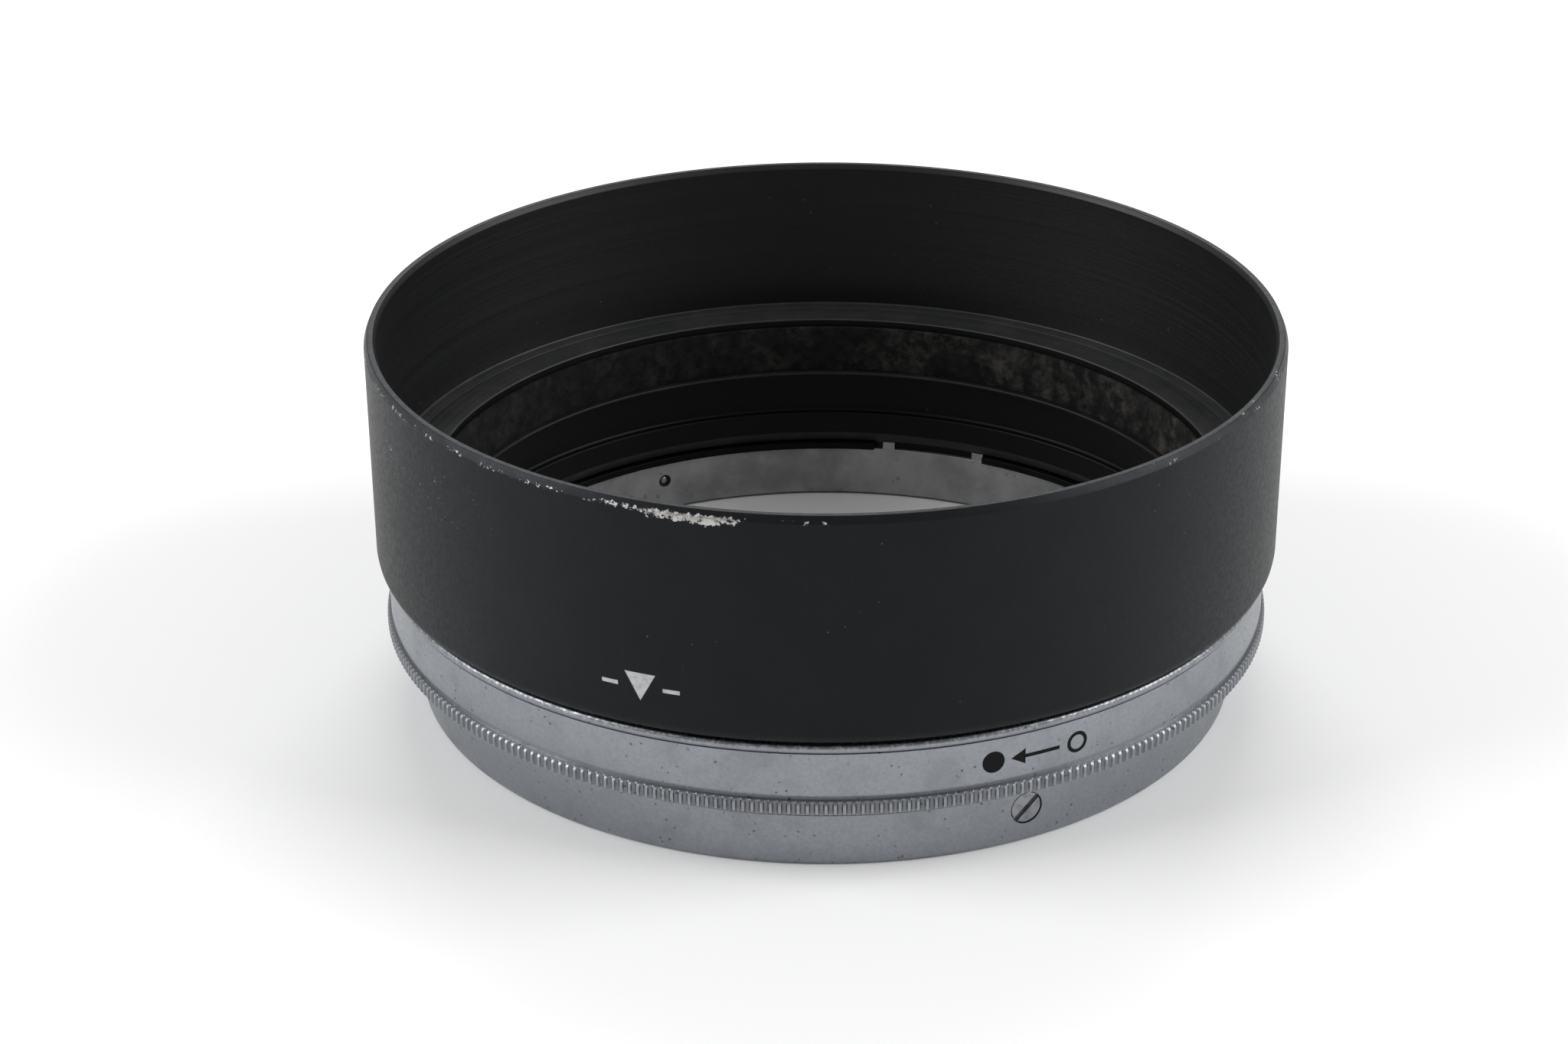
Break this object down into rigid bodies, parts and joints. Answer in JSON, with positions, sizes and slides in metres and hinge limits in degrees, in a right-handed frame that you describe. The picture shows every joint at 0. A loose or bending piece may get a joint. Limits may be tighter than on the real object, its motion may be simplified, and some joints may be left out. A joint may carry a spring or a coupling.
{
  "type": "lens hood",
  "caption": "Round clamp-on lens hood: a black cylindrical shroud on a satin chrome base, with a knurled ring that closes pivoted jaws on the lens rim.",
  "frame": {"origin": "on the optical axis at the foot of the base ring, the plane the hood stands on", "axes": "+Z along the optical axis towards the open mouth; the front of the engraved marks is -Y, right is +X"},
  "size_m": [0.07, 0.07, 0.0292],
  "materials": {
    "shroud_black": "satin black over aluminium, worn at the rim",
    "inner_black": "matt black",
    "jaw_black": "satin black",
    "lining": "flocked, dusty and rubbed",
    "satin_chrome": "satin chrome plate",
    "bare_metal": "bare turned metal",
    "screw_steel": "bright steel",
    "spring_steel": "dark spring steel"
  },
  "bodies": {
    "housing": {"shroud": "shroud_black", "neck_sleeve": "inner_black", "lens_stop": "inner_black", "flock_lining": "lining", "wave_spring": "spring_steel", "base_ring": "satin_chrome", "base_screws": "screw_steel", "jaw_carrier": "bare_metal", "keeper_ring": "bare_metal", "leg_screws": "screw_steel", "hinge_pin_1": "jaw_black", "hinge_pin_2": "jaw_black", "hinge_pin_3": "jaw_black"},
    "ring": {"clamp_ring": "satin_chrome"},
    "jaw_1": {"clamp_jaw_1": "jaw_black", "jaw_follower_1": "screw_steel"},
    "jaw_2": {"clamp_jaw_2": "jaw_black", "jaw_follower_2": "screw_steel"},
    "jaw_3": {"clamp_jaw_3": "jaw_black", "jaw_follower_3": "screw_steel"}
  },
  "joints": [
    {"name": "clamp_ring_turn", "type": "hinge", "parent": "housing", "child": "ring", "pos_m": [0, 0, 0.008], "axis": [0, 0, 1], "range_deg": [-35, 0]},
    {"name": "jaw_1_swing", "type": "hinge", "parent": "housing", "child": "jaw_1", "pos_m": [0.01667, -0.02637, 0.00485], "axis": [0, 0, 1], "range_deg": [-0.9555, 0]},
    {"name": "jaw_2_swing", "type": "hinge", "parent": "housing", "child": "jaw_2", "pos_m": [0.0145, 0.02762, 0.00485], "axis": [0, 0, 1], "range_deg": [-0.9555, 0]},
    {"name": "jaw_3_swing", "type": "hinge", "parent": "housing", "child": "jaw_3", "pos_m": [-0.03117, -0.00125, 0.00485], "axis": [0, 0, 1], "range_deg": [-0.9555, 0]}
  ],
  "couplings": [
    {"joint": "jaw_1_swing", "follows": "clamp_ring_turn", "ratio": 0.0273},
    {"joint": "jaw_2_swing", "follows": "clamp_ring_turn", "ratio": 0.0273},
    {"joint": "jaw_3_swing", "follows": "clamp_ring_turn", "ratio": 0.0273}
  ]
}
